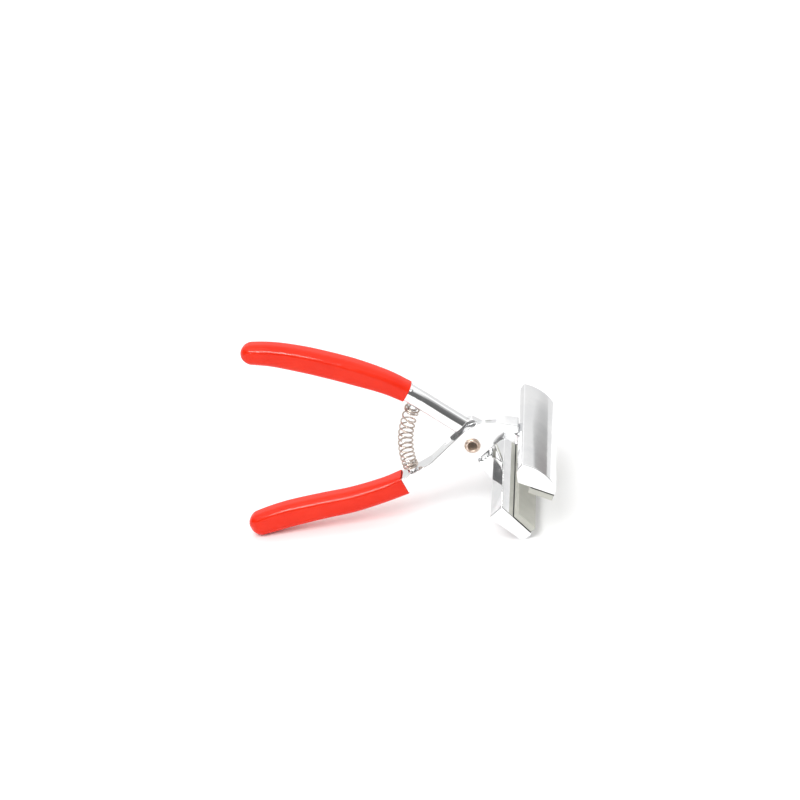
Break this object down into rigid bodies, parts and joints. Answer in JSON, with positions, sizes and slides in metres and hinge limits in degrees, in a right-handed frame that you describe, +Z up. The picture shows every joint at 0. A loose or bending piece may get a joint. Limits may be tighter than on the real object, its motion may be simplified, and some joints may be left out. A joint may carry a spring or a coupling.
{
  "type": "wide-jaw canvas pliers",
  "caption": "Spring-return hand pliers with wide flat rubber-padded jaws, crossed levers on a hollow rivet and dipped grips.",
  "frame": {"origin": "middle of the tool's footprint, on the surface that it stands on", "axes": "+X along the tool towards the jaws, +Y along the pivot axis, +Z up"},
  "size_m": [0.2351, 0.12, 0.1547],
  "materials": {
    "chrome": "polished chrome plate over a casting",
    "vinyl": "glossy dipped vinyl",
    "rubber": "matt grey-green rubber",
    "bond": "black bonding layer",
    "bronze": "dull brown bronze",
    "spring_wire": "drawn wire, browned by heat"
  },
  "bodies": {
    "upper_handle_side": {"upper_lever": "chrome", "upper_grip": "vinyl", "lower_jaw_pad": "rubber", "lower_pad_bond": "bond", "pivot_rivet": "bronze", "near_rivet_washer": "bronze", "far_rivet_washer": "bronze", "thrust_washer": "bronze", "return_spring": "spring_wire", "upper_spring_stud": "chrome"},
    "lower_handle_side": {"lower_lever": "chrome", "lower_grip": "vinyl", "upper_jaw_pad": "rubber", "upper_pad_bond": "bond", "lower_spring_stud": "chrome"}
  },
  "joints": [
    {"name": "jaw_pivot", "type": "hinge", "parent": "upper_handle_side", "child": "lower_handle_side", "pos_m": [0.0593, 0, 0.051], "axis": [0, 1, 0], "range_deg": [0, 25], "stiffness_Nm_per_rad": 2.5, "springref_deg": -17.19, "deforming": ["return_spring"]}
  ]
}
